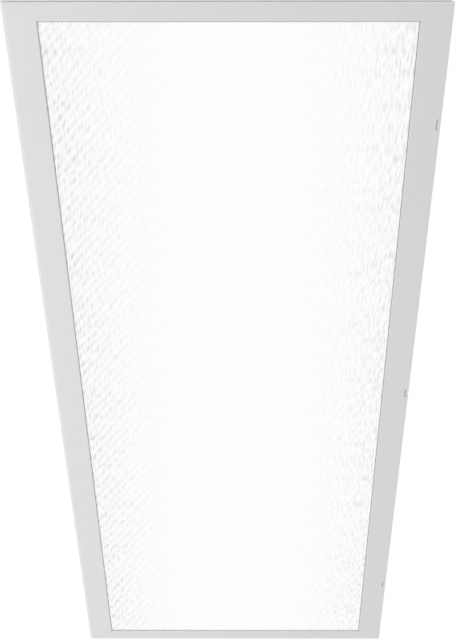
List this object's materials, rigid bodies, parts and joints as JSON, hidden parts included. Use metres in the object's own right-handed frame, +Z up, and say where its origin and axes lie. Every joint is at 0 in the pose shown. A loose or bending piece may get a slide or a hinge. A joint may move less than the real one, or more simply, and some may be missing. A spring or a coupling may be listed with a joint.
{
  "type": "recessed troffer light",
  "caption": "Shallow rectangular recessed ceiling light: folded steel housing, mitred lens door hinged on one long side with spring latches, LED boards and slide-out hanger bars.",
  "frame": {"origin": "centre of the plane where the ceiling rim bears up against the ceiling's underside", "axes": "+Z up into the ceiling void, lens facing -Z; X across the light with the door hinge on +X; Y along it"},
  "size_m": [0.303, 1.218, 0.0907],
  "materials": {
    "door_enamel": "satin light grey-white enamel",
    "housing_enamel": "satin white enamel",
    "zinc_plated_steel": "zinc plated sheet steel",
    "bright_steel": "bright spring steel",
    "prismatic_lens": "clear acrylic with a prismatic pattern, lit from behind",
    "board_white": "white solder mask on a metal-core board",
    "led_phosphor": "phosphor-coated LED packages",
    "connector_plastic": "moulded nylon",
    "driver_case": "white painted aluminium case",
    "terminal_plastic": "moulded nylon",
    "lead_insulation": "PVC insulation",
    "ground_green": "green passivated screw"
  },
  "bodies": {
    "housing": {"access_plate": "housing_enamel", "bar_guide_far": "zinc_plated_steel", "bar_guide_near": "zinc_plated_steel", "bar_lock_screws": "bright_steel", "board_connectors": "connector_plastic", "board_leads": "lead_insulation", "ceiling_rim": "housing_enamel", "driver_leads": "lead_insulation", "end_plate_far": "housing_enamel", "end_plate_near": "housing_enamel", "ground_screw": "ground_green", "hinge_leaf_1": "housing_enamel", "hinge_leaf_2": "housing_enamel", "hinge_leaf_3": "housing_enamel", "hinge_pin_1": "bright_steel", "hinge_pin_2": "bright_steel", "hinge_pin_3": "bright_steel", "housing_shell": "housing_enamel", "latch_keeper_far": "zinc_plated_steel", "latch_keeper_near": "zinc_plated_steel", "led_board_left_far": "board_white", "led_board_left_near": "board_white", "led_board_right_far": "board_white", "led_board_right_near": "board_white", "led_driver": "driver_case", "led_emitters": "led_phosphor", "terminal_block": "terminal_plastic", "wireway_cover": "housing_enamel"},
    "door": {"corner_bracket_far_left": "door_enamel", "corner_bracket_far_right": "door_enamel", "corner_bracket_near_left": "door_enamel", "corner_bracket_near_right": "door_enamel", "door_rail_far": "door_enamel", "door_rail_hinge_side": "door_enamel", "door_rail_latch_side": "door_enamel", "door_rail_near": "door_enamel", "latch_case_far": "zinc_plated_steel", "latch_case_near": "zinc_plated_steel", "latch_spring_far": "bright_steel", "latch_spring_near": "bright_steel", "lens": "prismatic_lens", "lens_clips": "bright_steel"},
    "latch_bolt_far": {"latch_bolt_far": "zinc_plated_steel"},
    "latch_bolt_near": {"latch_bolt_near": "zinc_plated_steel"},
    "hanger_bar_far_left": {"hanger_bar_far_left": "zinc_plated_steel"},
    "hanger_bar_far_right": {"hanger_bar_far_right": "zinc_plated_steel"},
    "hanger_bar_near_left": {"hanger_bar_near_left": "zinc_plated_steel"},
    "hanger_bar_near_right": {"hanger_bar_near_right": "zinc_plated_steel"}
  },
  "joints": [
    {"name": "door_swing", "type": "hinge", "parent": "housing", "child": "door", "pos_m": [0.1495, 0, -0.0026], "axis": [0, -1, 0], "range_deg": [0, 90]},
    {"name": "latch_slide_near", "type": "slide", "parent": "door", "child": "latch_bolt_near", "axis": [1, 0, 0], "range_m": [0, 0.003], "stiffness_N_per_m": 2000, "springref_m": -0.008},
    {"name": "latch_slide_far", "type": "slide", "parent": "door", "child": "latch_bolt_far", "axis": [1, 0, 0], "range_m": [0, 0.003], "stiffness_N_per_m": 2000, "springref_m": -0.008},
    {"name": "bar_slide_near_left", "type": "slide", "parent": "housing", "child": "hanger_bar_near_left", "axis": [-1, 0, 0], "range_m": [0, 0.034]},
    {"name": "bar_slide_near_right", "type": "slide", "parent": "housing", "child": "hanger_bar_near_right", "axis": [1, 0, 0], "range_m": [0, 0.034]},
    {"name": "bar_slide_far_left", "type": "slide", "parent": "housing", "child": "hanger_bar_far_left", "axis": [-1, 0, 0], "range_m": [0, 0.034]},
    {"name": "bar_slide_far_right", "type": "slide", "parent": "housing", "child": "hanger_bar_far_right", "axis": [1, 0, 0], "range_m": [0, 0.034]}
  ]
}
